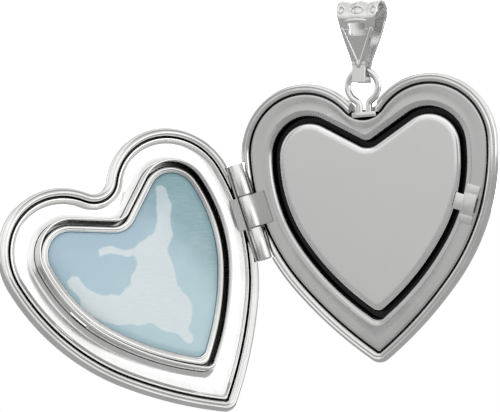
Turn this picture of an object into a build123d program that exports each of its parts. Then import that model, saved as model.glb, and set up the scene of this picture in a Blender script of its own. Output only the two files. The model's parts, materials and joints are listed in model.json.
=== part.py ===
from build123d import *
import os
from math import sin, cos, sqrt, radians, degrees, atan2

os.makedirs("parts", exist_ok=True)

# A heart locket that hangs open from its bail. Millimetres, +Z up. The origin is the middle of the
# bail's chain loop and the chain runs along X. The insides of both halves face -Y.

# ---- outline of the halves: cleft, straight side, lobe, shoulder, flank, down to the point
rim_cleft_y = 9.58
rim_cleft_r = 1.35
rim_slope = 48.5
rim_run = 0.17
rim_lobe_r = 5.79
rim_lobe_turn = 139.1
rim_shoulder_r = 17.85
rim_shoulder_turn = 39.0
rim_flank_r = 35.6
rim_tip_r = 0.95
rim = (rim_cleft_y, rim_cleft_r, rim_slope, rim_run, rim_lobe_r, rim_lobe_turn,
       rim_shoulder_r, rim_shoulder_turn, rim_flank_r)

# ---- outline of the groove round the plate, a heart with a sharper cleft inside the first one
cleft_band = 2.96      # how much less each arc of the well is than the rim's
lobe_band = 2.91
shoulder_band = 5.59
flank_band = 13.0
well_cleft_y = rim_cleft_y - cleft_band
well_cleft_r = 1.32
well_slope = 30.2
well_run = 3.64
well_lobe_r = rim_lobe_r - lobe_band
well_lobe_turn = 116.6
well_shoulder_r = rim_shoulder_r - shoulder_band
well_shoulder_turn = 36.6
well_flank_r = rim_flank_r - flank_band
well_tip_r = 0.9
well = (well_cleft_y, well_cleft_r, well_slope, well_run, well_lobe_r, well_lobe_turn,
        well_shoulder_r, well_shoulder_turn, well_flank_r)

# ---- sheet metal
sheet = 0.3            # thickness of the pressed sheet
half_depth = 2.5       # from the parting plane to the back of each dome
wall_height = 0.85     # upright part of the wall
rim_width = 0.85       # width of the rolled rim
rim_gap = 0.015        # each rim stays this far behind the parting plane
ledge = 0.2            # step inside the rim that carries the liners
ledge_drop = 0.5
slip = 0.03            # assembly clearance of a liner in its rim

# ---- back liner, plate and catch
flange_drop = 0.2
groove_in = 0.14       # groove limits either side of the well outline
groove_out = 0.36
groove_floor = 1.3
flange_round = 0.22
plate_drop = 0.55
plate_round = 0.2
catch_angle = -19.0    # direction of the outline's normal at the catch
tongue_width = 1.35
tongue_thick = 0.18
tongue_in = 0.11       # how far the tongue reaches in past the well outline
tongue_out = 1.0
tongue_travel = 0.6
clip_thick = 0.15
clip_length = 3.2
clip_inner = 0.62
clip_outer = 1.75
clip_play = 0.04

# ---- cover liner, collar, bezel and stone
channel_top = 0.15
channel_floor = 0.55
channel_side = 0.25
channel_round = 0.2
collar_thick = 0.22
collar_rise = 0.85
slot_low = -0.12
slot_high = 0.34
slot_length = 1.8
collar_gap = 0.2       # dark gap between the collar and the bezel
bezel_width = 0.62
bezel_rise = 0.12
bezel_round = 0.25
stone_rise = 0.35
stone_round = 0.4
stone_tip_r = 0.9
seat_drop = 0.85
seat_thick = 0.35
seat_wall = 0.3

# ---- hinge
hinge_angle = -15.2    # the outline's normal where the hinge touches it
knuckle_r = 0.65
knuckle_play = 0.06    # between a knuckle and what it turns past
knuckle_length = 2.72
knuckle_gap = 0.08
knuckle_taper = 5.0    # the outer knuckles lean in towards the outline
pin_r = 0.2
bore_play = 0.03
recess_under = 0.15    # recess below the knuckles
recess_play = 0.05
leaf_thick = 0.18
leaf_in = 1.7
flap_in = 1.45
strip_thick = 0.14
strip_top = 0.05
flap_top = 0.01
opening = 131.0        # how far the cover stands open at rest

# ---- hanging ring
ring_wire_r = 0.31
ring_r = 1.34          # to the middle of the wire
ring_rise = 11.47      # ring centre above the middle of the heart's frame
ring_drop = 0.45       # ring's plane behind the parting plane
leg_gap = 0.2
leg_bend_r = 0.5
ring_foot_width = 2.1
ring_notch_width = 2.5
ring_foot_height = 0.45

# ---- bail
bail_loop_r = 1.45     # outside of the chain loop
bail_strap_thick = 0.28
bail_top_width = 3.5
bail_low_width = 1.28
bail_reach = 4.31      # chain loop centre down to the ring's wire
bail_neck = 3.9
bail_eye = 0.49        # half the gap between the legs at the wire
foot_top = 0.52        # foot below the wire's middle
foot_bottom = 1.05
foot_width = 1.1
panel_thick = 0.1
window_half = 0.7
window_top = -0.55
window_low = -1.45
heart_lean = 4.0       # the heart hangs this far off the bail's line

# ---- frames of the two halves: local x and y in the plane of the heart, local z into the room
lean = radians(heart_lean)
across = Vector(cos(lean), 0, sin(lean))
along = Vector(-sin(lean), 0, cos(lean))
wire_top = Vector(0, 0, -bail_reach)
heart_origin = wire_top - along * (ring_rise + ring_r) - Vector(0, ring_drop, 0)
back = Plane(origin=heart_origin, x_dir=across, z_dir=(0, -1, 0))
shut = Plane(origin=heart_origin, x_dir=across * -1, z_dir=(0, 1, 0))


def shoulder_point(shape, grow, angle):
    """A point of the right-hand shoulder arc, by the direction of its normal."""
    top, cleft_r, slope, run, lobe_r, lobe_turn, shoulder_r = shape[:7]
    s = radians(slope)
    n = radians(slope - lobe_turn + 90)
    a = radians(angle)
    x = (cleft_r + lobe_r) * sin(s) + run * cos(s)
    y = top + cleft_r - (cleft_r + lobe_r) * cos(s) + run * sin(s)
    x += (lobe_r - shoulder_r) * cos(n) + (shoulder_r + grow) * cos(a)
    y += (lobe_r - shoulder_r) * sin(n) + (shoulder_r + grow) * sin(a)
    return x, y


def heart(shape, grow, tip, mode=Mode.ADD):
    """One heart face, parallel to the named outline at the distance grow."""
    top, cleft_r, slope, run, lobe_r, lobe_turn, shoulder_r, shoulder_turn, flank_r = shape
    r = flank_r + grow
    heading = slope - lobe_turn - shoulder_turn
    with BuildLine() as outline:
        cleft = JernArc((0, top + grow), (1, 0), cleft_r - grow, slope)
        side = PolarLine(cleft @ 1, run, slope)
        lobe = JernArc(side @ 1, side % 1, lobe_r + grow, -lobe_turn)
        shoulder = JernArc(lobe @ 1, lobe % 1, shoulder_r + grow, -shoulder_turn)
        start = shoulder @ 1
        cx = start.X + r * sin(radians(heading))
        cy = start.Y - r * cos(radians(heading))
        end = degrees(atan2(-sqrt((r - tip) ** 2 - cx ** 2), -cx))
        flank = JernArc(start, shoulder % 1, r, end - heading - 90)
        JernArc(flank @ 1, flank % 1, tip, -90 - end)
        mirror(about=Plane.YZ)
    make_face(outline.edges(), mode=mode)


# ---- hinge frame: local z along the pin, local x inwards over the back half, local y to the dome
# The axis stands off the liners by a knuckle, its play and the strip it is soldered to.
strip_from = knuckle_r + knuckle_play
hinge_out = strip_from + strip_thick + slip / 2 - rim_width
recess_in = hinge_out + rim_width + recess_play
recess_depth = knuckle_r + recess_under
hx, hy = shoulder_point(rim, hinge_out, hinge_angle)
ha = radians(hinge_angle)
hinge_origin = back.from_local_coords(Vector(-hx, hy, 0))
hinge_in = back.from_local_coords(Vector(cos(ha), -sin(ha), 0)) - back.origin
hinge_axis = back.from_local_coords(Vector(sin(ha), cos(ha), 0)) - back.origin
hinge = Plane(origin=hinge_origin, x_dir=hinge_in, z_dir=hinge_axis)
turn = Location((0, 0, 0), (0, 0, -opening))
swing = hinge.location * turn * hinge.location.inverse()
cover = Plane(swing * shut.location)
cover_hinge = Plane(hinge.location * turn)

# The catch sits on the right-hand shoulder of the well: local x outwards, local z into the room.
kx, ky = shoulder_point(well, 0, catch_angle)
ka = radians(catch_angle)
catch_out = back.from_local_coords(Vector(cos(ka), sin(ka), 0)) - back.origin
catch = Plane(origin=back.from_local_coords(Vector(kx, ky, 0)), x_dir=catch_out, z_dir=(0, -1, 0))
slot_out = cover.from_local_coords(Vector(-cos(ka), sin(ka), 0)) - cover.origin
slot = Plane(origin=cover.from_local_coords(Vector(-kx, ky, 0)), x_dir=slot_out, z_dir=cover.z_dir)

# outside of a half, as (depth, growth) of its rings, and the hollow inside it
dome = [(rim_gap, -0.1), (0.18, 0), (wall_height, 0), (1.4, -0.2), (1.88, -0.65), (2.26, -1.35), (half_depth, -2.3)]
floor = half_depth - sheet
hollow = [(ledge_drop, -rim_width - ledge), (wall_height, -sheet - 0.05), (1.3, -sheet - 0.2),
          (1.7, -sheet - 0.65), (2.02, -sheet - 1.25), (floor, -sheet - 1.9)]

# Back half, outer shell: a domed cup of sheet with a rolled rim, cut away for the hinge and for
# the legs of the hanging ring. The liner rests on the ledge inside the rim.
with BuildPart() as back_shell:
    for depth, grow in dome:
        with BuildSketch(back.offset(-depth)):
            heart(rim, grow, rim_tip_r)
    loft(ruled=True)
    for depth, grow in hollow:
        with BuildSketch(back.offset(-depth)):
            heart(rim, grow, rim_tip_r)
    loft(ruled=True, mode=Mode.SUBTRACT)
    with BuildSketch(back):
        heart(rim, -rim_width, rim_tip_r)
    extrude(amount=-ledge_drop, mode=Mode.SUBTRACT)
    with BuildSketch(hinge.offset(-1.5 * knuckle_length - 2 * knuckle_gap)):
        with Locations((recess_in / 2 - knuckle_r / 2 - 0.5, 0)):
            Rectangle(recess_in + knuckle_r + 1, 2 * recess_depth)
    extrude(amount=3 * knuckle_length + 4 * knuckle_gap, mode=Mode.SUBTRACT)
    with BuildSketch(back.offset(-ring_drop - ring_wire_r - clip_play)):
        with Locations((0, rim_cleft_y - rim_width - ledge - recess_play + 1.5)):
            Rectangle(ring_notch_width, 3)
    extrude(amount=2, mode=Mode.SUBTRACT)
back_shell.part.label = "back_shell"
export_step(back_shell.part, "parts/back_shell.step")

# Back half, liner: one pressing with a flat flange, a rounded inner edge and a well with a flat floor.
with BuildPart() as back_flange:
    with BuildSketch(back.offset(-flange_drop)):
        heart(rim, -rim_width - slip, rim_tip_r)
        heart(well, groove_out, well_tip_r, mode=Mode.SUBTRACT)
    extrude(amount=flange_drop - ledge_drop)
    fillet(back_flange.faces().sort_by(Axis.Y)[0].inner_wires().edges(), flange_round)
    with BuildSketch(back.offset(-flange_drop - flange_round)):
        heart(well, groove_out + sheet, well_tip_r)
        heart(well, groove_out, well_tip_r, mode=Mode.SUBTRACT)
    extrude(amount=flange_drop + flange_round - groove_floor)
    with BuildSketch(back.offset(-groove_floor)):
        heart(well, groove_out + sheet, well_tip_r)
    extrude(amount=-sheet)
back_flange.part.label = "back_flange"
export_step(back_flange.part, "parts/back_flange.step")

# Back half, photo plate: a satin heart of sheet with its edge turned down on to the floor of the well.
with BuildPart() as back_plate:
    with BuildSketch(back.offset(-groove_floor)):
        heart(well, -groove_in, well_tip_r)
    extrude(amount=groove_floor - plate_drop)
    fillet(back_plate.faces().sort_by(Axis.Y)[0].edges(), plate_round)
    with BuildSketch(back.offset(-groove_floor)):
        heart(well, -groove_in - sheet, well_tip_r)
    extrude(amount=groove_floor - plate_drop - sheet, mode=Mode.SUBTRACT)
back_plate.part.label = "back_plate"
export_step(back_plate.part, "parts/back_plate.step")

# Catch tongue: a flat tab that crosses the groove and slides outwards under its clip.
with BuildPart() as catch_tongue:
    with BuildSketch(catch.offset(-flange_drop + slip)):
        with Locations(((tongue_out - tongue_in) / 2, 0)):
            RectangleRounded(tongue_in + tongue_out, tongue_width, 0.12)
    extrude(amount=tongue_thick)
catch_tongue.part.label = "catch_tongue"
export_step(catch_tongue.part, "parts/catch_tongue.step")

# Catch clip: two pads soldered to the flange and a strap that bridges the tongue.
bridge_low = -flange_drop + slip + tongue_thick + clip_play
bridge_half = tongue_width / 2 + clip_play
with BuildPart() as catch_clip:
    with BuildSketch(catch.offset(-flange_drop)):
        with Locations(((clip_inner + clip_outer) / 2, 0)):
            Rectangle(clip_outer - clip_inner, clip_length)
            Rectangle(clip_outer - clip_inner, 2 * bridge_half, mode=Mode.SUBTRACT)
    extrude(amount=clip_thick)
    with BuildSketch(catch.offset(-flange_drop)):
        with Locations(((clip_inner + clip_outer) / 2, 0)):
            Rectangle(clip_outer - clip_inner, 2 * bridge_half + 2 * clip_thick)
            Rectangle(clip_outer - clip_inner, 2 * bridge_half, mode=Mode.SUBTRACT)
    extrude(amount=bridge_low + flange_drop + clip_thick)
    with BuildSketch(catch.offset(bridge_low)):
        with Locations(((clip_inner + clip_outer) / 2, 0)):
            Rectangle(clip_outer - clip_inner, 2 * bridge_half)
    extrude(amount=clip_thick)
catch_clip.part.label = "catch_clip"
export_step(catch_clip.part, "parts/catch_clip.step")

# Hanging ring: round wire bent to a keyhole, its two legs soldered into a bar in the cleft.
leg_x = ring_wire_r + leg_gap / 2
bend_x = leg_x + leg_bend_r
bend_y = -sqrt((ring_r + leg_bend_r) ** 2 - bend_x ** 2)
meet = Vector(bend_x, bend_y) * (ring_r / (ring_r + leg_bend_r))
leg_end = rim_cleft_y - ring_rise - ring_foot_height
ring_plane = Plane(origin=back.from_local_coords(Vector(0, ring_rise, -ring_drop)), x_dir=back.x_dir,
                   z_dir=back.z_dir)
with BuildPart() as hanging_ring:
    with BuildLine(ring_plane) as wire:
        Line((-leg_x, leg_end), (-leg_x, bend_y))
        JernArc((-leg_x, bend_y), (0, 1), leg_bend_r, degrees(atan2(-bend_y, bend_x)))
        ThreePointArc((-meet.X, meet.Y), (0, ring_r), (meet.X, meet.Y))
        JernArc((leg_x, bend_y), (0, 1), leg_bend_r, -degrees(atan2(-bend_y, bend_x)))
        Line((leg_x, bend_y), (leg_x, leg_end))
    with BuildSketch(Plane(wire.line @ 0, x_dir=ring_plane.x_dir, z_dir=wire.line % 0)):
        Circle(ring_wire_r)
    sweep(path=wire.line)
    with BuildSketch(ring_plane.offset(ring_wire_r)):
        with Locations((0, leg_end)):
            RectangleRounded(ring_foot_width, ring_foot_height, 0.1)
    extrude(amount=-2 * ring_wire_r)
hanging_ring.part.label = "hanging_ring"
export_step(hanging_ring.part, "parts/hanging_ring.step")

# Hinge, back half: the middle knuckle, and its leaf that lies on the flange.
with BuildPart() as back_knuckle:
    with BuildSketch(hinge.offset(-knuckle_length / 2)):
        Circle(knuckle_r)
        Circle(pin_r + bore_play, mode=Mode.SUBTRACT)
    extrude(amount=knuckle_length)
    chamfer(back_knuckle.edges().filter_by(GeomType.CIRCLE).group_by(SortBy.RADIUS)[-1], 0.06)
back_knuckle.part.label = "back_knuckle"
export_step(back_knuckle.part, "parts/back_knuckle.step")

with BuildPart() as back_leaf:
    with BuildSketch(hinge.offset(-knuckle_length / 2)):
        with Locations((leaf_in / 2, flange_drop - leaf_thick / 2)):
            Rectangle(leaf_in, leaf_thick)
        Circle(knuckle_r + 0.001, mode=Mode.SUBTRACT)
    extrude(amount=knuckle_length)
back_leaf.part.label = "back_leaf"
export_step(back_leaf.part, "parts/back_leaf.step")

with BuildPart() as hinge_pin:
    with BuildSketch(hinge.offset(-1.5 * knuckle_length - knuckle_gap)):
        Circle(pin_r)
    extrude(amount=3 * knuckle_length + 2 * knuckle_gap)
hinge_pin.part.label = "hinge_pin"
export_step(hinge_pin.part, "parts/hinge_pin.step")

# Hinge, cover: two outer knuckles that lean in at their far ends, on one strip soldered to the rim.
for name, way in (("cover_knuckle_upper", 1), ("cover_knuckle_lower", -1)):
    start = cover_hinge.offset(way * (knuckle_length / 2 + knuckle_gap))
    with BuildPart() as knuckle:
        with BuildSketch(start):
            Circle(knuckle_r)
        with BuildSketch(start.offset(way * knuckle_length)):
            with Locations((0.06, 0)):
                Circle(knuckle_r - 0.06)
        loft()
        with BuildSketch(start):
            Circle(pin_r + bore_play)
        extrude(amount=way * knuckle_length, mode=Mode.SUBTRACT)
    knuckle.part.label = name
    export_step(knuckle.part, "parts/" + name + ".step")

with BuildPart() as cover_leaf:
    with BuildSketch(cover_hinge.offset(-1.5 * knuckle_length - knuckle_gap)):
        with Locations((strip_from + strip_thick / 2, -(recess_depth + strip_top) / 2)):
            Rectangle(strip_thick, recess_depth - strip_top)
    extrude(amount=3 * knuckle_length + 2 * knuckle_gap)
    with BuildSketch(cover_hinge.offset(-knuckle_length / 2)):
        with Locations(((strip_from + flap_in) / 2, -(channel_top - flap_top) / 2 - flap_top)):
            Rectangle(flap_in - strip_from, channel_top - flap_top - slip / 3)
    extrude(amount=knuckle_length)
    for foot in (-1.5 * knuckle_length - knuckle_gap, knuckle_length / 2 + knuckle_gap):
        with BuildSketch(cover_hinge.offset(foot)):
            with Locations((strip_from / 2, -flange_drop - leaf_thick / 2)):
                Rectangle(strip_from, leaf_thick)
            Circle(knuckle_r + 0.001, mode=Mode.SUBTRACT)
        extrude(amount=knuckle_length)
cover_leaf.part.label = "cover_leaf"
export_step(cover_leaf.part, "parts/cover_leaf.step")

# Cover, outer shell: the same pressed cup, pierced for the stone and cut away for the hinge.
stone_in = -collar_gap - bezel_width
with BuildPart() as cover_shell:
    for depth, grow in dome:
        with BuildSketch(cover.offset(-depth)):
            heart(rim, grow, rim_tip_r)
    loft(ruled=True)
    for depth, grow in hollow:
        with BuildSketch(cover.offset(-depth)):
            heart(rim, grow, rim_tip_r)
    loft(ruled=True, mode=Mode.SUBTRACT)
    with BuildSketch(cover):
        heart(rim, -rim_width, rim_tip_r)
    extrude(amount=-ledge_drop, mode=Mode.SUBTRACT)
    with BuildSketch(cover_hinge.offset(-1.5 * knuckle_length - 2 * knuckle_gap)):
        with Locations((recess_in / 2 - knuckle_r / 2 - 0.5, 0)):
            Rectangle(recess_in + knuckle_r + 1, 2 * recess_depth)
    extrude(amount=3 * knuckle_length + 4 * knuckle_gap, mode=Mode.SUBTRACT)
    with BuildSketch(cover.offset(-half_depth - 0.1)):
        heart(well, stone_in, stone_tip_r)
    extrude(amount=half_depth, mode=Mode.SUBTRACT)
cover_shell.part.label = "cover_shell"
export_step(cover_shell.part, "parts/cover_shell.step")

# Cover, liner: a polished concave channel that runs round between the rim and the collar.
collar_out = collar_thick + 0.02
with BuildPart() as cover_channel:
    with BuildSketch(cover.offset(-channel_top)):
        heart(rim, -rim_width - slip, rim_tip_r)
        heart(well, collar_out, well_tip_r, mode=Mode.SUBTRACT)
    extrude(amount=channel_top - ledge_drop)
    with BuildSketch(cover.offset(-ledge_drop)):
        heart(rim, -rim_width - ledge - slip, rim_tip_r)
        heart(well, collar_out, well_tip_r, mode=Mode.SUBTRACT)
    extrude(amount=ledge_drop - seat_drop)
    with BuildSketch(cover.offset(-channel_top)):
        heart(rim, -rim_width - slip - channel_side, rim_tip_r)
        heart(well, collar_out + 0.12, well_tip_r, mode=Mode.SUBTRACT)
    extrude(amount=channel_top - channel_floor, mode=Mode.SUBTRACT)
cover_channel.part.label = "cover_channel"
export_step(cover_channel.part, "parts/cover_channel.step")

# Cover, collar: the upright band that enters the groove of the back half, with the catch slot.
with BuildPart() as cover_collar:
    with BuildSketch(cover.offset(-seat_drop)):
        heart(well, collar_thick, well_tip_r)
        heart(well, 0, well_tip_r, mode=Mode.SUBTRACT)
    extrude(amount=seat_drop + collar_rise)
    fillet(cover_collar.faces().sort_by(lambda f: -cover.to_local_coords(f.center()).Z)[0].edges(),
           collar_thick / 3)
    with BuildSketch(slot.offset(slot_low)):
        Rectangle(4 * collar_thick, slot_length)
    extrude(amount=slot_high - slot_low, mode=Mode.SUBTRACT)
cover_collar.part.label = "cover_collar"
export_step(cover_collar.part, "parts/cover_collar.step")

# Cover, bezel: the rounded band that holds the stone from the inside.
with BuildPart() as stone_bezel:
    with BuildSketch(cover.offset(-seat_drop)):
        heart(well, -collar_gap, well_tip_r)
        heart(well, stone_in, stone_tip_r, mode=Mode.SUBTRACT)
    extrude(amount=seat_drop + bezel_rise)
    fillet(stone_bezel.faces().sort_by(lambda f: -cover.to_local_coords(f.center()).Z)[0]
           .outer_wire().edges(), bezel_round)
stone_bezel.part.label = "stone_bezel"
export_step(stone_bezel.part, "parts/stone_bezel.step")

# Cover, stone: a heart cabochon, domed on the inside, that shows through the pierced shell.
with BuildPart() as heart_stone:
    with BuildSketch(cover.offset(-half_depth)):
        heart(well, stone_in - 0.02, stone_tip_r)
    extrude(amount=half_depth + stone_rise)
    fillet(heart_stone.faces().sort_by(lambda f: -cover.to_local_coords(f.center()).Z)[0].edges(),
           stone_round)
heart_stone.part.label = "heart_stone"
export_step(heart_stone.part, "parts/heart_stone.step")

# Cover, seat: a ledge under the collar, the bezel and the stone's girdle, on a skirt from the shell.
with BuildPart() as stone_seat:
    with BuildSketch(cover.offset(-seat_drop)):
        heart(well, collar_thick, well_tip_r)
        heart(well, stone_in, stone_tip_r, mode=Mode.SUBTRACT)
    extrude(amount=-seat_thick)
    with BuildSketch(cover.offset(-seat_drop - seat_thick)):
        heart(well, -collar_gap, well_tip_r)
        heart(well, -collar_gap - seat_wall, stone_tip_r, mode=Mode.SUBTRACT)
    extrude(amount=seat_drop + seat_thick - floor)
stone_seat.part.label = "stone_seat"
export_step(stone_seat.part, "parts/stone_seat.step")

# Bail, strap: sheet folded over into a teardrop loop, narrowing to the eye that holds the ring.
low = -bail_reach - foot_bottom
half_low = bail_low_width / 2
half_top = bail_top_width / 2
with BuildPart() as bail_strap:
    with BuildSketch(Plane.YZ.offset(-half_top)):
        Circle(bail_loop_r)
        with BuildLine():
            Polyline((-bail_loop_r * 0.96, -0.4), (-bail_eye - bail_strap_thick, -bail_neck),
                     (-bail_eye - bail_strap_thick, low), (bail_eye + bail_strap_thick, low),
                     (bail_eye + bail_strap_thick, -bail_neck), (bail_loop_r * 0.96, -0.4), close=True)
        make_face()
        Circle(bail_loop_r - bail_strap_thick, mode=Mode.SUBTRACT)
        with BuildLine():
            Polyline((-(bail_loop_r - bail_strap_thick) * 0.96, -0.35), (-bail_eye, -bail_neck),
                     (-bail_eye, low), (bail_eye, low), (bail_eye, -bail_neck),
                     ((bail_loop_r - bail_strap_thick) * 0.96, -0.35), close=True)
        make_face(mode=Mode.SUBTRACT)
    extrude(amount=bail_top_width)
    with BuildSketch(Plane.XZ.offset(-bail_loop_r - 1)):
        with BuildLine():
            Polyline((-half_low, low), (-half_low, -3.6), (-half_top + 0.1, -0.6), (-half_top, 0.4),
                     (-half_top, bail_loop_r + 0.1), (half_top, bail_loop_r + 0.1), (half_top, 0.4),
                     (half_top - 0.1, -0.6), (half_low, -3.6), (half_low, low), close=True)
        make_face()
    extrude(amount=2 * bail_loop_r + 2, mode=Mode.INTERSECT)
    with BuildSketch(Plane.XZ):
        with BuildLine():
            Polyline((-window_half, window_top), (window_half, window_top), (window_half, window_low),
                     (0, window_low - 0.45), (-window_half, window_low), close=True)
        make_face()
    extrude(amount=bail_loop_r + 1, mode=Mode.SUBTRACT)
bail_strap.part.label = "bail_strap"
export_step(bail_strap.part, "parts/bail_strap.step")

# Bail, panel: a thin V-shaped plate on the front leg, under the window.
leg_top = Vector(0, -bail_loop_r * 0.96, -0.4)
leg_low = Vector(0, -bail_eye - bail_strap_thick, -bail_neck)
leg_up = (leg_top - leg_low).normalized()
front_leg = Plane(origin=leg_low, x_dir=(1, 0, 0), z_dir=Vector(1, 0, 0).cross(leg_up))
panel_top = (leg_top - leg_low).length + window_low + 0.05
with BuildPart() as bail_panel:
    with BuildSketch(front_leg):
        with BuildLine():
            Polyline((0, 0.1), (half_low + 0.1, panel_top), (window_half, panel_top), (0, panel_top - 0.6),
                     (-window_half, panel_top), (-half_low - 0.1, panel_top), close=True)
        make_face()
    extrude(amount=panel_thick)
bail_panel.part.label = "bail_panel"
export_step(bail_panel.part, "parts/bail_panel.step")

# Bail, foot: solder that closes the two legs under the ring's wire.
with BuildPart() as bail_foot:
    with BuildSketch(Plane.XY.offset(low)):
        Rectangle(foot_width, 2 * bail_eye)
    extrude(amount=foot_bottom - foot_top)
bail_foot.part.label = "bail_foot"
export_step(bail_foot.part, "parts/bail_foot.step")
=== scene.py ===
import json
from math import atan2, cos, degrees, pi, radians, sin, sqrt

import bmesh
import bpy
from mathutils import Matrix, Vector


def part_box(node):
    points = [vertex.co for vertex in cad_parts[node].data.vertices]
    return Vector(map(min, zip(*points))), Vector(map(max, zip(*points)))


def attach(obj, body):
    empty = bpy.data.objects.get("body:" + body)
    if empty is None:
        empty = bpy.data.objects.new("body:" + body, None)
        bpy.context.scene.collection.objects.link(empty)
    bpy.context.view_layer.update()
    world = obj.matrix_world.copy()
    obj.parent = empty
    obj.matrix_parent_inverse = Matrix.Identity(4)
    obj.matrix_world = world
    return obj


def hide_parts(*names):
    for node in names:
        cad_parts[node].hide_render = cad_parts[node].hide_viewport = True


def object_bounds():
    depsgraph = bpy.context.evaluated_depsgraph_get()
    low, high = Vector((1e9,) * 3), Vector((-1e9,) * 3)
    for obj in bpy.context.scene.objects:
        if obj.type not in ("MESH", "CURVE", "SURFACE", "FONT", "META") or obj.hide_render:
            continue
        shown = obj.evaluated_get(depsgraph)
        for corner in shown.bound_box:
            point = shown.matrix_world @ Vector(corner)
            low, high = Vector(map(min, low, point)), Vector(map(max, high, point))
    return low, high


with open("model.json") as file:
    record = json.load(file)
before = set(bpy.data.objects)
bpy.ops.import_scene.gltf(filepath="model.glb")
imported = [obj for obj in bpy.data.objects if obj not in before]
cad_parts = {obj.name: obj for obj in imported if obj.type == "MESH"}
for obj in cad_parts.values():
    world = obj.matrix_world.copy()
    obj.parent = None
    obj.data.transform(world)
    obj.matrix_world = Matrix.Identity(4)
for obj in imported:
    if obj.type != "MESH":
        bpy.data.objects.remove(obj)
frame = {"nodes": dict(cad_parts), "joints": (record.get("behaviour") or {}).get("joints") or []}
cad_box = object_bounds()

# ---------------------------------------------------------------- back half, outer shell
# The cup of the back half: 0.3 mm sterling sheet pressed to a heart-shaped dome, its edge rolled to
# a rim with a fine bead. It is filed away for the hinge and for the legs of the hanging ring.

# Sizes are in millimetres in the half's own frame: x and y in the heart, z out of its open side.
MM = 0.001
joints = {joint["name"]: joint for joint in frame["joints"]}
lean = radians(4.0)
across = Vector((cos(lean), 0, sin(lean)))
along = Vector((-sin(lean), 0, cos(lean)))
inwards = Vector((0, -1, 0))
ring_rise, ring_r, ring_drop = 11.47, 1.34, 0.45
heart_middle = (Vector(joints["pendant_swing"]["pos_m"])
                - (along * (ring_rise + ring_r) + Vector((0, ring_drop, 0))) * MM)


def bench(origin, x, y, z):
    """The matrix that takes millimetres on a piece's own axes to metres in the locket."""
    turned = Matrix((x, y, z)).transposed().to_4x4()
    return Matrix.Translation(origin) @ turned @ Matrix.Scale(MM, 4)


back = bench(heart_middle, across, along, inwards)
# Each heart, in order: the height and radius of its cleft, the slope and run of the straight beside
# it, the lobe's radius and turn, the shoulder's radius and turn, and the flank's radius.
rim = (9.58, 1.35, 48.5, 0.17, 5.79, 139.1, 17.85, 39.0, 35.6)
well = (6.62, 1.32, 30.2, 3.64, 2.88, 116.6, 12.26, 36.6, 22.6)
rim_tip, well_tip = 0.95, 0.9
arc_steps = {"cleft": 10, "straight": 3, "lobe": 44, "shoulder": 18, "flank": 22, "tip": 8}


def between(share, one=rim, other=well):
    """The outline that lies part of the way from one heart to another."""
    return tuple(a + (b - a) * share for a, b in zip(one, other))


def heart_ring(bm, outline, grow, z, tip, travelled=0.0):
    """A closed heart of edges: cleft, straight, lobe, shoulder, flank and point, and its mirror image."""
    cleft_y, cleft_r, slope, run, lobe_r, lobe_turn, shoulder_r, shoulder_turn, flank_r = outline
    layer = bm.verts.layers.float.get("travelled") or bm.verts.layers.float.new("travelled")
    old_verts, old_edges = set(bm.verts), set(bm.edges)
    here = bm.verts.new((0, cleft_y + grow, z))
    heading = 0.0

    def arc(here, heading, radius, turn, steps):
        way = 1 if turn > 0 else -1
        centre = here.co + Vector((-sin(heading), cos(heading), 0)) * radius * way
        made = bmesh.ops.spin(bm, geom=[here], cent=centre, axis=(0, 0, 1), dvec=(0, 0, 0),
                              angle=turn, steps=steps, use_merge=False, use_duplicate=False)
        return made["geom_last"][0], heading + turn

    here, heading = arc(here, heading, cleft_r - grow, radians(slope), arc_steps["cleft"])
    straight = Vector((cos(heading), sin(heading), 0)) * run / arc_steps["straight"]
    for _ in range(arc_steps["straight"]):
        made = bmesh.ops.extrude_vert_indiv(bm, verts=[here])
        here = made["verts"][0]
        here.co += straight
    here, heading = arc(here, heading, lobe_r + grow, -radians(lobe_turn), arc_steps["lobe"])
    here, heading = arc(here, heading, shoulder_r + grow, -radians(shoulder_turn), arc_steps["shoulder"])
    r = flank_r + grow
    centre_x = here.co.x + r * sin(heading)
    end = atan2(-sqrt((r - tip) ** 2 - centre_x ** 2), -centre_x)
    here, heading = arc(here, heading, r, end - heading - pi / 2, arc_steps["flank"])
    here, heading = arc(here, heading, tip, -pi / 2 - end, arc_steps["tip"])
    here.co.x = 0
    half = [v for v in bm.verts if v not in old_verts] + [e for e in bm.edges if e not in old_edges]
    bmesh.ops.mirror(bm, geom=half, matrix=Matrix.Identity(4), merge_dist=1e-5, axis="X")
    for v in bm.verts:
        if v not in old_verts:
            v[layer] = travelled
    return [e for e in bm.edges if e not in old_edges]


def swept(bm, rings, closed=False, dark=()):
    """Skins the hearts one after the other. The last joins the first, or both ends are capped.
    The strips that start at the rings numbered in dark take the piece's second material."""
    loops, travelled, before = [], 0.0, None
    for outline, grow, z, tip in rings:
        place = Vector((outline[0] + grow, z))
        travelled += (place - before).length if before else 0.0
        before = place
        loops.append(heart_ring(bm, outline, grow, z, tip, travelled))
    pairs = list(zip(loops, loops[1:])) + ([(loops[-1], loops[0])] if closed else [])
    for number, (one, other) in enumerate(pairs):
        made = bmesh.ops.bridge_loops(bm, edges=one + other)
        for face in made["faces"]:
            face.material_index = 1 if number in dark or number - len(loops) in dark else 0
    if not closed:
        for end in (loops[0], loops[-1]):
            bmesh.ops.contextual_create(bm, geom=end)


def finished(bm, name, place, smooth_to=38):
    """Makes the mesh an object at the origin, with its place in the mesh, facing outwards."""
    bmesh.ops.recalc_face_normals(bm, faces=bm.faces[:])
    for face in bm.faces:
        face.smooth = True
    mesh = bpy.data.meshes.new(name)
    bm.to_mesh(mesh)
    bm.free()
    mesh.transform(place)
    mesh.set_sharp_from_angle(angle=radians(smooth_to))
    piece = bpy.data.objects.new(name, mesh)
    bpy.context.scene.collection.objects.link(piece)
    return piece


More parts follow.
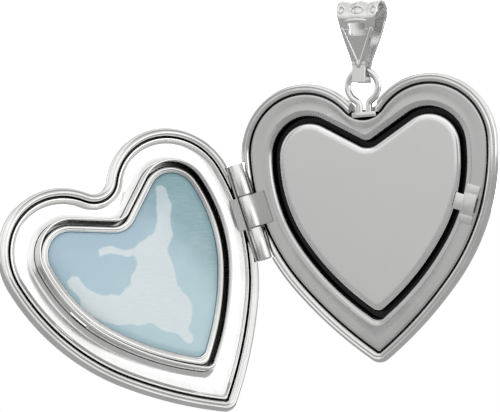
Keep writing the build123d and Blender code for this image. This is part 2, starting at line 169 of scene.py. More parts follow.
def refinished(piece, to_half, below, number):
    """Gives the faces below a height in the half's own frame another of the piece's materials."""
    for face in piece.data.polygons:
        if (to_half @ face.center).z < below:
            face.material_index = number


def block(bm, low, high, rounded=0.0):
    """A block between two corners, with its edges rounded."""
    low, high = Vector(low), Vector(high)
    size, middle = high - low, (high + low) / 2
    made = bmesh.ops.create_cube(bm, size=1,
                                 matrix=Matrix.Translation(middle) @ Matrix.Diagonal((*size, 1)))
    if rounded:
        edges = {e for v in made["verts"] for e in v.link_edges}
        bmesh.ops.bevel(bm, geom=list(edges), offset=rounded, affect="EDGES", segments=3, profile=0.5,
                        material=-1)


def filed_away(piece, make_tool, place, smooth_to=38):
    """Cuts the shape that make_tool builds, in the given frame, out of a piece."""
    bm = bmesh.new()
    make_tool(bm)
    tool = finished(bm, "file", place)
    cut = piece.modifiers.new("cut", "BOOLEAN")
    cut.operation, cut.solver, cut.object = "DIFFERENCE", "EXACT", tool
    solid = bpy.data.meshes.new_from_object(piece.evaluated_get(bpy.context.evaluated_depsgraph_get()))
    piece.modifiers.clear()
    piece.data = solid
    solid.name = piece.name
    bpy.data.objects.remove(tool)
    solid.set_sharp_from_angle(angle=radians(smooth_to))


class Finish:
    """A value that varies over a surface. Sums on it add Math nodes to the finish's node tree."""

    def __init__(self, tree, socket=None):
        self.tree, self.socket = tree, socket

    def node(self, kind, settings, inputs, output=0):
        made = self.tree.nodes.new(kind)
        for name, value in settings.items():
            setattr(made, name, value)
        for name, value in inputs.items():
            if isinstance(value, Finish):
                self.tree.links.new(value.socket, made.inputs[name])
            else:
                made.inputs[name].default_value = value
        return Finish(self.tree, made.outputs[output] if made.outputs else None)

    def sum(self, operation, *terms, **settings):
        return self.node("ShaderNodeMath", {"operation": operation, **settings}, dict(enumerate(terms)))

    def __add__(self, other): return self.sum("ADD", self, other)
    def __radd__(self, other): return self.sum("ADD", other, self)
    def __sub__(self, other): return self.sum("SUBTRACT", self, other)
    def __rsub__(self, other): return self.sum("SUBTRACT", other, self)
    def __mul__(self, other): return self.sum("MULTIPLY", self, other)
    def __truediv__(self, other): return self.sum("DIVIDE", self, other)
    def most(self, other): return self.sum("MAXIMUM", self, other)
    def held(self): return self.sum("ADD", self, 0.0, use_clamp=True)

    def step(self, low, high):
        """0 below low, 1 above high, and smooth between them."""
        return self.node("ShaderNodeMapRange", {"interpolation_type": "SMOOTHSTEP"},
                         {"Value": self, "From Min": low, "From Max": high})

    def mixed(self, one, other):
        """The colour one where this value is 0 and other where it is 1."""
        return self.node("ShaderNodeMix", {"data_type": "RGBA"}, {0: self, 6: one, 7: other}, 2)

    def noise(self, where, scale, detail=3.0, w=None):
        settings = {"noise_dimensions": "4D" if w is not None else "3D"}
        inputs = {"Vector": where, "Scale": scale, "Detail": detail}
        if w is not None:
            inputs["W"] = w
        return self.node("ShaderNodeTexNoise", settings, inputs)


def new_finish(name):
    """An empty node tree, and Object coordinates in millimetres."""
    material = bpy.data.materials.new(name)
    material.use_nodes = True
    material.node_tree.nodes.clear()
    start = Finish(material.node_tree)
    place = start.node("ShaderNodeTexCoord", {}, {}, 3)
    place = start.node("ShaderNodeVectorMath", {"operation": "SCALE"}, {0: place, "Scale": 1 / MM})
    return material, start, place


def silver(name, colour=(0.93, 0.925, 0.915), dull=0.12, streaks=0.0, grain=0.0):
    """Silver with handling wear and a faint tarnish. Streaks run along the heart, and grain is a
    fine blast."""
    material, start, place = new_finish(name)
    cloud = start.noise(place, 0.45, 4)
    fine = start.noise(place, 5.0, 4)
    worn = (cloud * 0.65 + fine * 0.35).step(0.38, 0.62)
    shade = worn.mixed((colour[0] * 0.93, colour[1] * 0.93, colour[2] * 0.925, 1), (*colour, 1))
    rough = dull * 0.7 + worn * dull * 0.4 + fine * dull * 0.25
    height = fine * 0.03
    if streaks:
        travelled = start.node("ShaderNodeAttribute", {"attribute_name": "travelled"}, {}, 2)
        line = start.noise(place, 0.12, 2, travelled * 7.0)
        rough = rough + (line - 0.5).most(0) * streaks * 0.4
        shade = (line.step(0.35, 0.6) * 0.5 + 0.5).mixed((0.5, 0.5, 0.49, 1), shade)
        height = height + line * streaks
    if grain:
        specks = start.noise(place, 22.0, 2)
        height = height + specks * grain
        rough = rough + specks * grain * 0.12
    stretched = start.node("ShaderNodeMapping", {}, {0: place, 2: (0.4, 0.2, 0.9), 3: (1, 14, 1)})
    scratch = start.noise(stretched, 0.9, 4)
    height = height + scratch * 0.08
    bump = start.node("ShaderNodeBump", {}, {"Height": height, "Strength": 0.1, "Distance": 0.00002})
    metal = start.node("ShaderNodeBsdfPrincipled", {}, {"Base Color": shade, "Roughness": rough.held(),
                                                        "Metallic": 1.0, "Normal": bump})
    start.node("ShaderNodeOutputMaterial", {}, {"Surface": metal})
    return material


def outside(centre_ring):
    """The dome and rolled rim, from the middle of the dome up to the top of the ledge inside the rim."""
    dome = [(-2.6, -2.38), (-1.8, -2.2), (-1.15, -1.93), (-0.65, -1.6), (-0.3, -1.25), (-0.08, -0.95),
            (0, -0.7), (0, -0.36), (-0.02, -0.24), (-0.07, -0.13), (-0.15, -0.06), (-0.24, -0.045),
            (-0.3, -0.1), (-0.36, -0.12), (-0.42, -0.07), (-0.5, -0.017), (-0.6, -0.03), (-0.68, -0.09),
            (-0.74, -0.19), (-0.77, -0.3), (-0.79, -0.5), (-1.05, -0.5)]
    hollow = [(-0.4, -0.86), (-0.55, -1.3), (-1.0, -1.7), (-1.6, -2.02), (-2.2, -2.2)]
    tips = [rim_tip] * 15 + [0.75, 0.6, 0.5, 0.4, 0.35, 0.3, 0.3] + [rim_tip] * 5
    return centre_ring + [(rim, g, z, tip) for (g, z), tip in zip(dome + hollow, tips)]


knuckle_r, knuckle_length, knuckle_gap = 0.65, 2.72, 0.08
recess_in, recess_out, recess_depth = 0.91, 1.6, 0.8
hinge_at = Vector(joints["cover_hinge"]["pos_m"])
pin_way = Vector(joints["cover_hinge"]["axis"]).normalized()
hinge_in = pin_way.cross(Vector((0, 1, 0))) * -1
if hinge_in.x < 0:
    hinge_in = -hinge_in
hinge = bench(hinge_at, hinge_in, Vector((0, 1, 0)), pin_way)
hinge_half = 1.5 * knuckle_length + 2 * knuckle_gap


notch_half, notch_foot, notch_depth = 1.25, 8.45, 0.8
notch_top, notch_front = 12, 1


def hinge_recess(bm):
    """The place filed for the tube, open to the outside of the rim."""
    block(bm, (-recess_out, -recess_depth, -hinge_half), (recess_in, recess_depth, hinge_half))


def leg_notch(bm):
    """The place filed in the cleft for the ring's legs, open above and in front."""
    block(bm, (-notch_half, notch_foot, -notch_depth), (notch_half, notch_top, notch_front))


bm = bmesh.new()
# The strips from the rim's inner wall down through the ledge and the hollow take the near-black painted
# shade.
swept(bm, outside([(rim, -4.8, -2.5, rim_tip), (rim, -4.6, -2.5, rim_tip), (rim, -3.6, -2.47, rim_tip)]),
      dark=range(-8, 0))
back_shell = finished(bm, "back_shell_cup", back)
filed_away(back_shell, hinge_recess, hinge)
filed_away(back_shell, leg_notch, back)
shell_silver = silver("rolled_silver", (0.86, 0.86, 0.85), 0.13)
back_shell.data.materials.append(shell_silver)
# A near-black silver used as painted shade: it darkens grooves, hollows and walls between parts where shade
# falls.
painted_groove_shade = silver("painted_shade_black", (0.03, 0.03, 0.03), 0.3)
back_shell.data.materials.append(painted_groove_shade)
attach(back_shell, "back")
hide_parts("back_shell")

# ---------------------------------------------------------------- back half, liner
# One pressing pushed into the rim: a flat flange, softly polished, that rolls over into a deep
# groove. The deep groove is coloured near-black as painted shade.
bm = bmesh.new()
swept(bm, [(well, 0.2, -1.3, well_tip), (well, 0.28, -1.29, well_tip), (well, 0.34, -1.22, well_tip),
           (well, 0.36, -1.1, well_tip), (well, 0.36, -0.75, well_tip), (well, 0.38, -0.6, well_tip),
           (well, 0.43, -0.44, well_tip), (well, 0.51, -0.32, well_tip), (well, 0.61, -0.245, well_tip),
           (well, 0.73, -0.21, 1.0), (well, 0.86, -0.2, 1.1), (between(0.75), 0.0, -0.215, 0.9),
           (between(0.5), -0.4, -0.235, 0.7), (between(0.25), -0.75, -0.225, 0.5),
           (rim, -1.12, -0.2, 0.35), (rim, -1.02, -0.2, 0.3), (rim, -0.96, -0.22, 0.3),
           (rim, -0.91, -0.28, 0.3), (rim, -0.9, -0.5, 0.3), (well, 0.66, -0.5, well_tip),
           (well, 0.66, -1.55, well_tip), (well, 0.5, -1.6, well_tip)])
back_liner = finished(bm, "back_liner_flange", back)
back_liner.data.materials.append(silver("liner_silver", (0.7, 0.7, 0.695), 0.22))
back_liner.data.materials.append(painted_groove_shade)
to_heart = back.inverted()
# Faces deeper than 0.8 mm take the near-black painted shade.
refinished(back_liner, to_heart, -0.8, 1)
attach(back_liner, "back")
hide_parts("back_flange")

# ---------------------------------------------------------------- back half, photo plate
# A heart of sheet with its edge turned down, pressed into the middle of the well. Its face is
# satin-brushed to take a small portrait or an engraving, and its edge is polished.
bm = bmesh.new()
swept(bm, [(well, -0.3, -1.3, well_tip), (well, -0.14, -1.29, well_tip), (well, -0.14, -0.98, well_tip),
           (well, -0.16, -0.84, 0.85), (well, -0.23, -0.71, 0.8), (well, -0.34, -0.62, 0.7),
           (well, -0.5, -0.57, 0.6), (well, -0.7, -0.552, 0.45), (well, -0.85, -0.55, 0.4),
           (well, -1.0, -0.55, 0.4)])
plate = finished(bm, "photo_plate", back)


def satin(name, colour, dull):
    """Silver brushed one way with a fine wheel."""
    material, start, place = new_finish(name)
    brushed = start.node("ShaderNodeMapping", {}, {0: place, 2: (0, radians(-8), 0), 3: (0.5, 1, 9)})
    lines = start.noise(brushed, 3.0, 5)
    cloud = start.noise(place, 0.3, 3)
    shade = (lines * 0.4 + cloud * 0.6).mixed((*[c * 0.94 for c in colour], 1), (*colour, 1))
    bump = start.node("ShaderNodeBump", {}, {"Height": lines, "Strength": 0.06, "Distance": 0.00004})
    rough = dull + lines * 0.08
    metal = start.node("ShaderNodeBsdfPrincipled", {}, {"Base Color": shade, "Roughness": rough,
                                                        "Metallic": 1.0, "Normal": bump})
    start.node("ShaderNodeOutputMaterial", {}, {"Surface": metal})
    return material


plate.data.materials.append(satin("satin_silver", (0.9, 0.9, 0.89), 0.34))
plate.data.materials.append(silver("plate_edge_silver", (0.95, 0.95, 0.94), 0.14))
plate.data.materials.append(painted_groove_shade)
plate_face, plate_foot = -0.556, -0.78
refinished(plate, to_heart, plate_face, 1)
# The plate's foot, down in the groove, takes the near-black painted shade.
refinished(plate, to_heart, plate_foot, 2)
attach(plate, "back")
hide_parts("back_plate")

# ---------------------------------------------------------------- hanging ring
# Round silver wire bent to a keyhole, with both legs soldered into a small bar in the cleft. The
# locket hangs and swings from it.
wire_r = 0.31
leg_x, bend_r = wire_r + 0.1, 0.5
bend_x = leg_x + bend_r
bend_y = -sqrt((ring_r + bend_r) ** 2 - bend_x ** 2)
leg_sunk = 0.45
leg_end = rim[0] - ring_rise - leg_sunk
bar_half, bar_thick = 1.05, 0.22
bend_turn = atan2(-bend_y, bend_x)
ring_frame = back @ Matrix.Translation((0, ring_rise, -ring_drop))
bm = bmesh.new()
leg_foot = Matrix.Translation((leg_x, leg_end, 0)) @ Matrix.Rotation(pi / 2, 4, "X")
wire = bmesh.ops.create_circle(bm, segments=24, radius=wire_r, matrix=leg_foot)
wire_end = list({e for v in wire["verts"] for e in v.link_edges})
stretch = bmesh.ops.extrude_edge_only(bm, edges=wire_end)["geom"]
bmesh.ops.translate(bm, verts=[g for g in stretch if isinstance(g, bmesh.types.BMVert)],
                    vec=(0, bend_y - leg_end, 0))
end = [g for g in stretch if not isinstance(g, bmesh.types.BMFace)]
for centre, turn, steps in (((bend_x, bend_y, 0), -bend_turn, 10),
                            ((0, 0, 0), 2 * (pi / 2 + bend_turn), 72),
                            ((-bend_x, bend_y, 0), -bend_turn, 10)):
    end = bmesh.ops.spin(bm, geom=end, cent=centre, axis=(0, 0, 1), dvec=(0, 0, 0), angle=turn, steps=steps,
                         use_merge=False, use_duplicate=False)["geom_last"]
last = bmesh.ops.extrude_edge_only(bm, edges=[g for g in end if isinstance(g, bmesh.types.BMEdge)])["geom"]
bmesh.ops.translate(bm, verts=[g for g in last if isinstance(g, bmesh.types.BMVert)],
                    vec=(0, leg_end - bend_y, 0))
bmesh.ops.remove_doubles(bm, verts=bm.verts[:], dist=1e-4)
bmesh.ops.holes_fill(bm, edges=[e for e in bm.edges if e.is_boundary], sides=0)
block(bm, (-bar_half, leg_end - bar_thick, -wire_r), (bar_half, leg_end + bar_thick, wire_r), 0.09)
hanging_ring = finished(bm, "keyhole_ring", ring_frame)
hanging_ring.data.materials.append(silver("ring_silver", dull=0.16))
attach(hanging_ring, "back")
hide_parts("hanging_ring")

# ---------------------------------------------------------------- hinge
# Three knuckles of drawn tube on a pin. The middle one is soldered to the back half's flange by a
# leaf, and the outer two to a strip on the cover's rim.
opening = Matrix.Rotation(-radians(joints["cover_hinge"]["range_deg"][1]), 4, pin_way)
swing = Matrix.Translation(hinge_at) @ opening @ Matrix.Translation(-hinge_at)
cover = swing @ bench(heart_middle, -across, along, -inwards)
cover_hinge = swing @ hinge
knuckle_silver = silver("hinge_silver", (0.9, 0.9, 0.89), 0.2)
bore_r, end_r, soft_r = 0.23, 0.6, 0.635


def knuckle(bm, low, high):
    """A tube with softened ends, spun from its section."""
    section = [(bore_r, low), (end_r, low), (soft_r, low + 0.02), (knuckle_r, low + 0.06),
               (knuckle_r, high - 0.06), (soft_r, high - 0.02), (end_r, high), (bore_r, high)]
    corners = [bm.verts.new((r, 0, z)) for r, z in section]
    edges = [bm.edges.new(pair) for pair in zip(corners, corners[1:] + corners[:1])]
    bmesh.ops.spin(bm, geom=corners + edges, cent=(0, 0, 0), axis=(0, 0, 1), dvec=(0, 0, 0),
                   angle=2 * pi, steps=40, use_merge=True, use_duplicate=False)


half_knuckle = knuckle_length / 2
outer_start = half_knuckle + knuckle_gap
outer_end = outer_start + knuckle_length
for name, place, body, low, high, node in (
        ("middle_knuckle", hinge, "back", -half_knuckle, half_knuckle, "back_knuckle"),
        ("upper_knuckle", cover_hinge, "cover", outer_start, outer_end, "cover_knuckle_upper"),
        ("lower_knuckle", cover_hinge, "cover", -outer_end, -outer_start, "cover_knuckle_lower")):
    bm = bmesh.new()
    knuckle(bm, low, high)
    piece = finished(bm, name, place, 50)
    piece.data.materials.append(knuckle_silver)
    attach(piece, body)
    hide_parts(node)
leaf_silver = silver("leaf_silver", (0.62, 0.62, 0.61), 0.28)
flap_silver = silver("flap_silver", (0.34, 0.34, 0.335), 0.3)
for node in ("back_leaf", "cover_leaf", "hinge_pin", "stone_seat"):
    cad = frame["nodes"][node].data
    cad.materials.clear()
    cad.materials.append(flap_silver if node == "cover_leaf" else leaf_silver)

# ---------------------------------------------------------------- catch
# A springy tab crosses the groove and is held under a strap. The strap's two feet are flat pads
# soldered to the flange.
catch_out = Vector(joints["catch_slide"]["axis"]).normalized()
catch_up = inwards.cross(catch_out)
tongue_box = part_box("catch_tongue")
tongue_middle = (tongue_box[0] + tongue_box[1]) / 2
flange_face = Vector((tongue_middle.x, tongue_box[1].y, tongue_middle.z))
catch = bench(flange_face, catch_out, catch_up, inwards)
tab_half_length, tab_half_width, tab_thick = 0.555, 0.675, 0.18
bm = bmesh.new()
block(bm, (-tab_half_length, -tab_half_width, 0.0), (tab_half_length, tab_half_width, tab_thick), 0.06)
tongue = finished(bm, "catch_tab", catch)
tongue.data.materials.append(silver("tab_silver", (0.97, 0.97, 0.96), 0.3))
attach(tongue, "tongue")
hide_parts("catch_tongue")
clip_in, clip_out = 0.175, 1.305
pad_in, pad_out, pad_foot, pad_top = 0.6, 1.6, -0.03, 0.12
wall_in, strap_half, wall_top = 0.715, 0.86, 0.34
bm = bmesh.new()
block(bm, (clip_in, pad_in, pad_foot), (clip_out, pad_out, pad_top), 0.04)
block(bm, (clip_in, -pad_out, pad_foot), (clip_out, -pad_in, pad_top), 0.04)
block(bm, (clip_in, -strap_half, 0.22), (clip_out, strap_half, 0.37), 0.05)
block(bm, (clip_in, wall_in, 0.0), (clip_out, strap_half, wall_top), 0.03)
block(bm, (clip_in, -strap_half, 0.0), (clip_out, -wall_in, wall_top), 0.03)
clip = finished(bm, "catch_strap", catch)
clip.data.materials.append(silver("strap_silver", (0.86, 0.86, 0.85), 0.28))
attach(clip, "back")
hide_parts("catch_clip")

# ---------------------------------------------------------------- cover, outer shell
# The same pressed cup as the back's, of the same sheet, but pierced with a heart for the stone. Its
# hinge side is filed away too.
bm = bmesh.new()
swept(bm, outside([(well, -0.83, -2.2, well_tip), (well, -0.83, -2.42, well_tip),
                   (well, -0.76, -2.49, well_tip), (well, -0.66, -2.5, well_tip),
                   (well, -0.5, -2.48, well_tip), (well, -0.3, -2.46, well_tip),
                   (between(0.7), -0.5, -2.43, well_tip)])
      + [(well, -0.4, -2.2, well_tip)], closed=True, dark=range(-9, 0))
cover_shell = finished(bm, "cover_shell_cup", cover)
filed_away(cover_shell, hinge_recess, cover_hinge)
cover_shell.data.materials.append(shell_silver)
# The strips from the rim's inner wall through the ledge and the hollow, back to the opening, take this
# near-black painted shade.
cover_shell.data.materials.append(painted_groove_shade)
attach(cover_shell, "cover")
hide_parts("cover_shell")

# ---------------------------------------------------------------- cover, liner
# A hollow channel pressed from thin sheet and mirror-polished, with a lip that sits in the rim.
# It was blasted before it was polished, so a fine grain shows where the polish thins out.
bm = bmesh.new()
swept(bm, [(rim, -0.92, -0.5, 0.3), (rim, -0.92, -0.3, 0.3), (rim, -0.94, -0.2, 0.3),
           (rim, -0.99, -0.155, 0.3), (rim, -1.05, -0.165, 0.35), (rim, -1.1, -0.23, 0.4),
           (rim, -1.14, -0.33, 0.45), (rim, -1.24, -0.41, 0.5), (rim, -1.45, -0.47, 0.6),
           (between(0.35), -1.0, -0.52, 0.8), (between(0.65), -0.45, -0.545, 0.9),
           (well, 0.75, -0.53, 1.0), (well, 0.55, -0.49, well_tip), (well, 0.42, -0.43, well_tip),
           (well, 0.33, -0.35, well_tip), (well, 0.27, -0.3, well_tip), (well, 0.235, -0.33, well_tip),
           (well, 0.235, -0.85, well_tip), (between(0.5), -0.7, -0.8, 0.8),
           (rim, -1.12, -0.74, 0.5), (rim, -1.12, -0.52, 0.4)], closed=True, dark=[0])
channel = finished(bm, "cover_channel_liner", cover)
channel.data.materials.append(silver("channel_silver", (0.97, 0.97, 0.965), 0.1, grain=0.6))
# The first strip, the lip's wall against the rim, takes the near-black painted shade between the two parts.
channel.data.materials.append(painted_groove_shade)
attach(channel, "cover")
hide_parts("cover_channel")

# ---------------------------------------------------------------- cover, collar
# An upright band soldered round the stone's seat. It drops into the groove of the back half when
# the locket is shut, and the catch tab springs into its slot.
bm = bmesh.new()
swept(bm, [(well, 0.22, -0.85, well_tip), (well, 0.22, -0.3, well_tip), (well, 0.22, 0.7, well_tip),
           (well, 0.2, 0.79, well_tip), (well, 0.15, 0.84, well_tip), (well, 0.08, 0.845, well_tip),
           (well, 0.02, 0.81, well_tip), (well, 0.0, 0.72, well_tip), (well, 0.0, 0.1, well_tip),
           (well, 0.0, -0.85, well_tip)], closed=True)
collar = finished(bm, "cover_collar_band", cover)
slot_angle, slot_shift = radians(-19.0), 0.445
slot_half, slot_foot, slot_top = 0.9, -0.12, 0.34
tongue_spot = to_heart @ tongue_middle


def catch_slot(bm):
    """The slot that the catch tab springs into."""
    block(bm, (-slot_half, -slot_half, slot_foot), (slot_half, slot_half, slot_top))


slot_place = cover @ Matrix.Translation((-tongue_spot.x + slot_shift * cos(slot_angle),
                                         tongue_spot.y - slot_shift * sin(slot_angle), 0))
slot_place = slot_place @ Matrix.Rotation(-slot_angle, 4, "Z")
filed_away(collar, catch_slot, slot_place)
collar.data.materials.append(silver("collar_silver", (0.8, 0.8, 0.79), 0.14, streaks=0.8))
collar.data.materials.append(painted_groove_shade)
to_cover = cover.inverted()
# Faces low on the band that don't face up take the near-black painted shade.
black_below, facing_up = 0.12, 0.5
for face in collar.data.polygons:
    level = (to_cover.to_3x3() @ face.normal).z
    if (to_cover @ face.center).z < black_below and level < facing_up:
        face.material_index = 1
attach(collar, "cover")
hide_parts("cover_collar")

# ---------------------------------------------------------------- cover, bezel
# A rounded band of silver, soldered to the stone's seat and pressed down over the edge of the
# stone, with a thin burnished lip against it.
bm = bmesh.new()
swept(bm, [(well, -0.2, -0.85, well_tip), (well, -0.2, -0.2, well_tip), (well, -0.22, -0.06, well_tip),
           (well, -0.28, 0.03, well_tip), (well, -0.36, 0.09, well_tip), (well, -0.45, 0.115, well_tip),
           (well, -0.54, 0.1, well_tip), (well, -0.61, 0.05, well_tip), (well, -0.645, 0.01, well_tip),
           (well, -0.67, 0.05, well_tip), (well, -0.72, 0.1, well_tip), (well, -0.78, 0.11, well_tip),
           (well, -0.82, 0.06, well_tip), (well, -0.83, -0.02, well_tip), (well, -0.83, -0.85, well_tip)],
      closed=True)
bezel = finished(bm, "stone_bezel_band", cover)
bezel.data.materials.append(silver("bezel_silver", (0.93, 0.93, 0.925), 0.16, streaks=0.5))
bezel.data.materials.append(painted_groove_shade)
# The bezel's lower band, below the stone's edge, takes the near-black painted shade.
refinished(bezel, to_cover, -0.12, 1)
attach(bezel, "cover")
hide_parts("stone_bezel")

# ---------------------------------------------------------------- stone
# A milky blue heart cabochon with soft bands near one edge and a cloudy white inclusion that
# branches across it, partly painted highlight. Its face is domed and polished to a high gloss.
bm = bmesh.new()
swept(bm, [(well, -1.3, -2.5, 0.7), (well, -1.1, -2.5, 0.8), (well, -0.95, -2.46, well_tip),
           (well, -0.84, -2.36, well_tip), (well, -0.84, -0.08, well_tip), (well, -0.86, 0.03, well_tip),
           (well, -0.93, 0.11, 0.85), (well, -1.05, 0.18, 0.8), (well, -1.25, 0.24, 0.75),
           (well, -1.6, 0.29, 0.7), (well, -2.0, 0.325, 0.6), (well, -2.35, 0.34, 0.5),
           (well, -2.5, 0.345, 0.5)])
stone = finished(bm, "blue_heart_stone", cover, 60)
material, start, place = new_finish("milky_blue_stone")
seen = start.node("ShaderNodeVectorMath", {"operation": "SUBTRACT"}, {0: place, 1: cover.translation / MM})


def measured(way):
    """How far a point of the stone lies from the middle of its heart, one way."""
    return start.node("ShaderNodeVectorMath", {"operation": "DOT_PRODUCT"},
                      {0: seen, 1: cover.to_3x3().col[way].normalized()}, 1)


sx, sy = measured(0), measured(1)
wobble = start.noise(place, 0.55, 4) - 0.5
ripple = start.noise(place, 2.6, 5) - 0.5
wx, wy = sx + wobble * 0.9 + ripple * 0.12, sy + wobble * 0.8 - ripple * 0.12


def vein(x0, y0, x1, y1, thick):
    """Signed distance to a thick stroke between two points."""
    length = ((x1 - x0) ** 2 + (y1 - y0) ** 2) ** 0.5
    ux, uy = (x1 - x0) / length, (y1 - y0) / length
    way = (((wx - x0) * ux + (wy - y0) * uy) / length).held() * length
    dx, dy = wx - x0 - way * ux, wy - y0 - way * uy
    return (dx * dx + dy * dy).sum("SQRT", dx * dx + dy * dy) - thick


cloud = None
for stroke in ((4.5, 7.1, 3.9, 5.8, 0.5), (3.9, 5.8, 2.7, 4.0, 0.62), (2.7, 4.0, 1.2, 3.0, 0.8),
               (-2.9, 5.3, 0.6, 3.3, 0.3), (0.7, 2.9, 0.3, 1.0, 1.5), (-0.6, 0.9, -0.4, -1.8, 1.9),
               (-2.8, 0.2, -0.6, -1.3, 1.5), (-4.6, 0.8, -2.8, -0.3, 1.3), (-6.3, 4.3, -6.0, 2.0, 0.6),
               (-6.0, 2.0, -4.8, 0.8, 0.95), (-0.4, -2.2, -0.3, -4.3, 0.55)):
    part = vein(*stroke)
    cloud = part if cloud is None else cloud.sum("SMOOTH_MIN", cloud, part, 0.5)
# The white branch is partly a cloudy inclusion and partly painted highlight: the dome's glints are drawn
# into its colour.
inclusion_and_highlight = 1 - cloud.step(-0.12, 0.06)
brushed = start.node("ShaderNodeMapping", {}, {0: place, 3: (1, 1, 7)})
streak = start.noise(brushed, 1.3, 5)
band = (sx * 0.55 + sy * 0.12 + wobble * 1.2).step(1.2, 3.6)
upper = (sy - sx * 0.1).step(-1.5, 6.5)
pale_blue, sky_blue, teal = (0.55, 0.76, 0.83, 1), (0.48, 0.67, 0.79, 1), (0.27, 0.46, 0.51, 1)
dim_pearl, bright_pearl = (0.74, 0.87, 0.92, 1), (0.88, 0.96, 0.98, 1)
milk = (upper * 0.8 + wobble * 0.6).held().mixed(pale_blue, sky_blue)
milk = (band * (0.5 + streak * 0.7)).held().mixed(milk, teal)
pearl_and_highlight = (streak * 1.1).held().mixed(dim_pearl, bright_pearl)
colour = (inclusion_and_highlight * (1 - band * 0.35)).held().mixed(milk, pearl_and_highlight)
bump = start.node("ShaderNodeBump", {}, {"Height": streak, "Strength": 0.02, "Distance": 0.0001})
polish = 0.06 + streak * 0.04
gloss = start.node("ShaderNodeBsdfPrincipled", {}, {"Base Color": colour, "Roughness": polish, "IOR": 1.55,
                                                    "Normal": bump, "Coat Weight": 0.4})
start.node("ShaderNodeOutputMaterial", {}, {"Surface": gloss})
stone.data.materials.append(material)
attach(stone, "cover")
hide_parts("heart_stone")

# ---------------------------------------------------------------- bail
# A tapered strap of sheet folded into a teardrop loop for the chain. Its top is pressed into three
# lobes with oval dimples, and its front leg is pierced over a raised V.
strap_thick, neck_z, foot_z = 0.28, -3.9, -5.36
bail_place = Matrix.Scale(MM, 4)
columns = 48
leg_y, loop_start, loop_turn = 0.63, (-1, -1.253, -0.4), radians(215.4)


def drawn_to(bm, here, point, steps):
    """Draws the strap's line on in equal steps to a point."""
    stride = (Vector(point) - here.co) / steps
    for _ in range(steps):
        here = bmesh.ops.extrude_vert_indiv(bm, verts=[here])["verts"][0]
        here.co += stride
    return here


def ramp(value, low, high):
    """0 below low, 1 above high, and smooth between them."""
    t = min(1.0, max(0.0, (value - low) / (high - low)))
    return t * t * (3 - 2 * t)


neck_half, widening, flare = 0.555, 1.045, 0.15


def half_width(z):
    """Half the strap's width, which tapers from the loop down to the neck."""
    return neck_half + widening * ramp(z, -4.1, 0.4) ** 0.75 + flare * ramp(z, -0.5, 0.6)


lobe_depth, lobe_pitch, dimple_depth, dimple_span = 0.2, 1.5, 0.15, 18
dimples_above = -0.6


def relief(x, z, angle):
    """How far the pressing pushes the loop out: three lobes, with rows of oval dimples."""
    height = -lobe_depth * (0.5 - 0.5 * cos(2 * pi * x / lobe_pitch)) * ramp(z, -0.2, 0.9)
    if z <= dimples_above:
        return height
    for middle, wide in ((0.0, 0.62), (1.4, 0.3), (-1.4, 0.3)):
        for turn in (157, 90, 23):
            far = sqrt(((x - middle) / wide) ** 2 + ((angle - turn) / dimple_span) ** 2)
            height -= dimple_depth * (1 - ramp(far, 0.82, 1.05)) * (0.6 + 0.4 * min(far, 1))
    return height


def v_line(z):
    """Half the width of the raised V at a height on the front leg."""
    return 1.22 * max(0.0, (z + 4.0) / 2.9) ** 0.9


bm = bmesh.new()
here = drawn_to(bm, bm.verts.new((-1, -leg_y, foot_z)), (-1, -leg_y, neck_z), 20)
here = drawn_to(bm, here, loop_start, 64)
here = bmesh.ops.spin(bm, geom=[here], cent=(0, 0, 0), axis=(1, 0, 0), dvec=(0, 0, 0), angle=-loop_turn,
                      steps=96, use_merge=False, use_duplicate=False)["geom_last"][0]
here = drawn_to(bm, here, (-1, leg_y, neck_z), 64)
drawn_to(bm, here, (-1, leg_y, foot_z), 20)
edges = bm.edges[:]
for _ in range(columns):
    made = bmesh.ops.extrude_edge_only(bm, edges=edges)["geom"]
    edges = [g for g in made if isinstance(g, bmesh.types.BMEdge)]
    bmesh.ops.translate(bm, verts=[g for g in made if isinstance(g, bmesh.types.BMVert)],
                        vec=(2 / columns, 0, 0))
v_raised, v_sunk, eye_room, lip_raised = 0.07, 0.05, 0.05, 0.06
for v in bm.verts:
    x, y, z = v.co
    x *= half_width(z)
    angle = degrees(atan2(z, y)) % 360
    out = Vector((0, y, max(z, -0.35))).normalized()
    push = relief(x, z, angle)
    if y < 0 and -4.1 < z < -0.9:
        past_v = abs(x) - v_line(z)
        push += v_raised * (1 - ramp(abs(past_v), 0.03, 0.11))
        push -= v_sunk * ramp(-past_v, 0.05, 0.12) * ramp(z, -3.7, -3.5)
    push += eye_room * (1 - ramp(z, -3.9, -3.6))
    if y < 0 and z > -0.75:
        from_lip = abs(z + 0.42 - 0.12 * (1 - x * x))
        push += lip_raised * (1 - ramp(from_lip, 0.04, 0.13)) * ramp(0.95 - abs(x), 0, 0.1)
    v.co = Vector((x, y, z)) + out * push
window_half, window_foot, window_top = 0.72, -1.5, -0.52
window = []
for face in bm.faces:
    spot = face.calc_center_median()
    above_foot = spot.z > window_foot + 0.1 * abs(spot.x)
    if spot.y < 0 and abs(spot.x) < window_half and above_foot and spot.z < window_top:
        window.append(face)
bmesh.ops.delete(bm, geom=window, context="FACES")
strap = finished(bm, "bail_folded_strap", bail_place, 60)
wall = strap.modifiers.new("sheet", "SOLIDIFY")
wall.thickness, wall.offset = strap_thick * MM, 0
strap.data.materials.append(silver("bail_silver", (0.86, 0.86, 0.85), 0.2))
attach(strap, "bail")
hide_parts("bail_strap", "bail_panel")

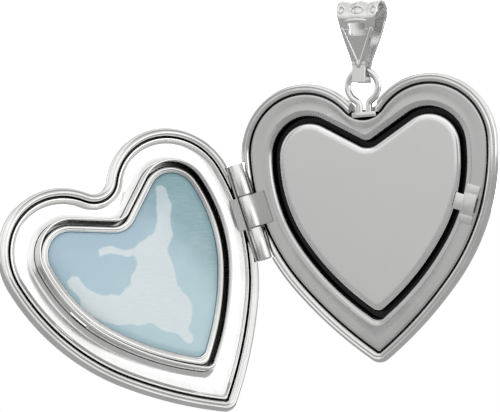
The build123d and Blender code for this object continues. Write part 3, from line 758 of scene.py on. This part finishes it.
# ---------------------------------------------------------------- bail's solder
# Silver solder run in between the strap's two ends. It closes the eye under the ring's wire, and
# it left a small bead beside the joint.
solder_half, solder_reach, solder_top = 0.5, 0.56, -4.86
bm = bmesh.new()
block(bm, (-solder_half, -solder_reach, foot_z + 0.02), (solder_half, solder_reach, solder_top), 0.12)
bead = Matrix.Translation((-0.32, -0.52, foot_z + 0.22)) @ Matrix.Diagonal((1.2, 0.6, 0.8, 1))
bmesh.ops.create_icosphere(bm, subdivisions=3, radius=0.24, matrix=bead)
solder = finished(bm, "bail_solder", bail_place)
solder.data.materials.append(silver("solder_silver", (0.8, 0.8, 0.79), 0.3))
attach(solder, "bail")
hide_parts("bail_foot")

# ---------------------------------------------------------------- studio
# A plain white floor and a sweep of soft light, with darker flags that give the silver its tone.
floor_z = cad_box[0].z - 0.02
bm = bmesh.new()
bmesh.ops.create_grid(bm, x_segments=1, y_segments=1, size=3)
floor = finished(bm, "studio_floor", Matrix.Translation((0, 0, floor_z)))
paper = bpy.data.materials.new("studio_paper")
paper.use_nodes = True
paper.node_tree.nodes.clear()
start = Finish(paper.node_tree)
seen_straight = start.node("ShaderNodeLightPath", {}, {})
paper_light = 0.4
glow = seen_straight * (1 - paper_light) + paper_light
glow = start.node("ShaderNodeEmission", {}, {"Strength": glow})
start.node("ShaderNodeOutputMaterial", {}, {"Surface": glow})
floor.data.materials.append(paper)

studio = bpy.data.worlds.new("studio")
studio.use_nodes = True
studio.node_tree.nodes.clear()
air = Finish(studio.node_tree)
look = air.node("ShaderNodeTexCoord", {}, {}, 0)
right, behind, up = [air.node("ShaderNodeSeparateXYZ", {}, {0: look}, side) for side in range(3)]
front = (0 - behind).held()
room, front_shade, right_wall, left_wall, crown, least_light = 0.8, 0.02, 0.42, 0.2, 0.2, 0.05
lens_at, lens_dark, flag_at, flag_dark, paper_white = 0.36, 0.55, -0.62, 0.35, 2
light = room - (0 - right).step(-0.1, 0.6) * front.step(0.3, 0.9) * front_shade
light = light + right.step(0.84, 0.97) * right_wall
light = light + (0 - right).step(0.8, 0.97) * left_wall
light = light + (up.step(0.25, 0.5) - up.step(0.75, 0.95)) * crown
from_lens = (right - lens_at) * (right - lens_at) + up * up * 0.5
light = light - (1 - from_lens.step(0.004, 0.045)) * front.step(0.5, 0.8) * lens_dark
from_flag = (right - flag_at) * (right - flag_at)
light = (light - (1 - from_flag.step(0.001, 0.02)) * flag_dark).most(least_light)
light = light + air.node("ShaderNodeLightPath", {}, {}) * paper_white
shine = air.node("ShaderNodeBackground", {}, {"Color": (1, 1, 1, 1), "Strength": light})
air.node("ShaderNodeOutputWorld", {}, {"Surface": shine})
bpy.context.scene.world = studio

lamp = bpy.data.lights.new("side_softbox", "AREA")
lamp.shape, lamp.size, lamp.size_y, lamp.energy = "RECTANGLE", 0.25, 0.3, 0.1
softbox = bpy.data.objects.new("side_softbox", lamp)
softbox.location = (0.4, -0.12, 0.06)
softbox.rotation_euler = (softbox.location - heart_middle).to_track_quat("Z", "Y").to_euler()
bpy.context.scene.collection.objects.link(softbox)

# ---------------------------------------------------------------- camera
# It stands level with the heart, about 20 cm away, and looks at the open inside from the right
# through a long lens.
bpy.context.scene.view_settings.view_transform = "Standard"
turned = Matrix.Identity(3)
for axis, angle in (("X", 0.56), ("Y", -23.44), ("Z", 3.94)):
    turned = turned @ Matrix.Rotation(radians(angle), 3, axis)
turned.transpose()
sideways, upwards, away = -9.83, 1.59, 198.66
stand = turned @ Vector((sideways, upwards, away))
lens = bpy.data.cameras.new("camera")
lens.sensor_width, lens.lens = 36.0, 174.44
lens.clip_start, lens.clip_end = 0.01, 20
camera = bpy.data.objects.new("camera", lens)
turn = back.to_3x3().normalized() @ turned
camera.matrix_world = Matrix.Translation(back @ stand) @ turn.to_4x4()
bpy.context.scene.collection.objects.link(camera)
bpy.context.scene.camera = camera
